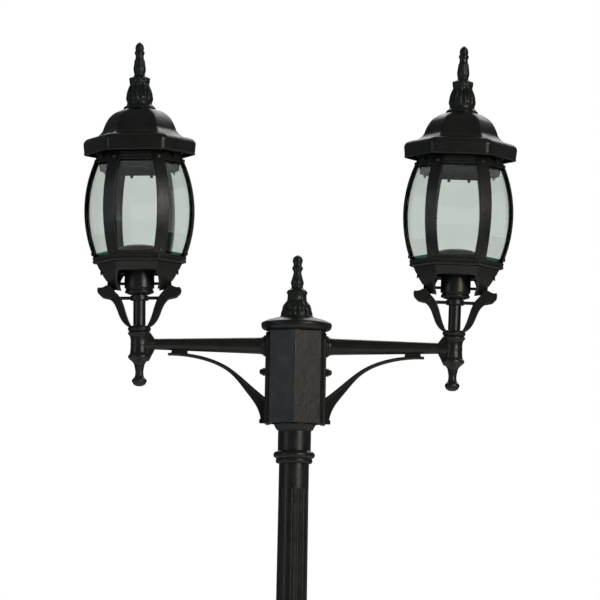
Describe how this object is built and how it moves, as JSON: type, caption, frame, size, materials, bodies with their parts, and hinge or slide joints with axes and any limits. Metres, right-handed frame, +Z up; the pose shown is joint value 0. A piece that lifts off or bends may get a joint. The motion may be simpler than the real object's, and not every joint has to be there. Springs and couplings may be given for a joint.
{
  "type": "street lamp post",
  "caption": "Free-standing lamp post: fluted shaft on a cast foot, six-sided hub with side arms, each carrying a six-sided glazed lantern with an ogee roof and finial.",
  "frame": {"origin": "on the ground at the centre of the foot plate's underside", "axes": "+Z up the post, +X along the right arm, -Y towards the front"},
  "size_m": [0.8714, 0.3, 2.4044],
  "materials": {
    "black_paint": "semi-gloss green-black paint on cast aluminium",
    "green_black_paint": "semi-gloss dark green-black paint",
    "dark_steel": "blackened steel screws",
    "zinc_fasteners": "zinc-plated steel",
    "clear_glass": "clear, slightly green bent glass",
    "white_ceramic": "glazed white ceramic",
    "brass_contacts": "bright brass",
    "white_plastic": "matte moulded plastic",
    "lead_sheath": "matte black rubber sheath"
  },
  "bodies": {
    "post": {"foot_plate": "black_paint", "base_column": "black_paint", "base_bolts": "zinc_fasteners", "shaft_collar": "black_paint", "fluted_shaft": "black_paint", "set_screws": "dark_steel"},
    "head": {"neck_collar": "black_paint", "hub_body": "black_paint", "hub_cap": "black_paint", "centre_finial": "black_paint", "tie_rod": "zinc_fasteners", "terminal_block": "white_plastic", "plate_bolts": "black_paint", "left_bracket_plate": "black_paint", "left_arm_tube": "black_paint", "left_brace": "black_paint", "left_end_socket": "black_paint", "left_drop_finial": "black_paint", "left_lamp_lead": "lead_sheath", "right_bracket_plate": "black_paint", "right_arm_tube": "black_paint", "right_brace": "black_paint", "right_end_socket": "black_paint", "right_drop_finial": "black_paint", "right_lamp_lead": "lead_sheath"},
    "left_lantern": {"left_cradle": "black_paint", "left_swivel_screw": "dark_steel", "left_cradle_pins": "black_paint", "left_stem_tube": "black_paint", "left_lampholder_cup": "black_paint", "left_lampholder": "white_ceramic", "left_lamp_contacts": "brass_contacts", "left_reflector_dish": "green_black_paint", "left_cage_base": "black_paint", "left_cage_ribs": "black_paint", "left_rib_screws": "dark_steel", "left_glass_panels": "clear_glass", "left_top_ring": "black_paint", "left_ceiling_plate": "green_black_paint", "left_roof_screws": "dark_steel"},
    "left_roof_body": {"left_roof": "black_paint", "left_roof_finial": "black_paint"},
    "right_lantern": {"right_cradle": "black_paint", "right_swivel_screw": "dark_steel", "right_cradle_pins": "black_paint", "right_stem_tube": "black_paint", "right_lampholder_cup": "black_paint", "right_lampholder": "white_ceramic", "right_lamp_contacts": "brass_contacts", "right_reflector_dish": "green_black_paint", "right_cage_base": "black_paint", "right_cage_ribs": "black_paint", "right_rib_screws": "dark_steel", "right_glass_panels": "clear_glass", "right_top_ring": "black_paint", "right_ceiling_plate": "green_black_paint", "right_roof_screws": "dark_steel"},
    "right_roof_body": {"right_roof": "black_paint", "right_roof_finial": "black_paint"}
  },
  "joints": [
    {"name": "head_swivel", "type": "hinge", "parent": "post", "child": "head", "pos_m": [0, 0, 1.56], "axis": [0, 0, 1], "range_deg": [-170, 170]},
    {"name": "left_lantern_swivel", "type": "hinge", "parent": "head", "child": "left_lantern", "pos_m": [-0.31452, 0, 1.82], "axis": [-0.0209, 0, 0.9998], "range_deg": [-170, 170]},
    {"name": "left_roof_lift", "type": "slide", "parent": "left_lantern", "child": "left_roof_body", "axis": [-0.0209, 0, 0.9998], "range_m": [0, 0.12]},
    {"name": "right_lantern_swivel", "type": "hinge", "parent": "head", "child": "right_lantern", "pos_m": [0.31452, 0, 1.82], "axis": [0.0209, 0, 0.9998], "range_deg": [-170, 170]},
    {"name": "right_roof_lift", "type": "slide", "parent": "right_lantern", "child": "right_roof_body", "axis": [0.0209, 0, 0.9998], "range_m": [0, 0.12]}
  ]
}
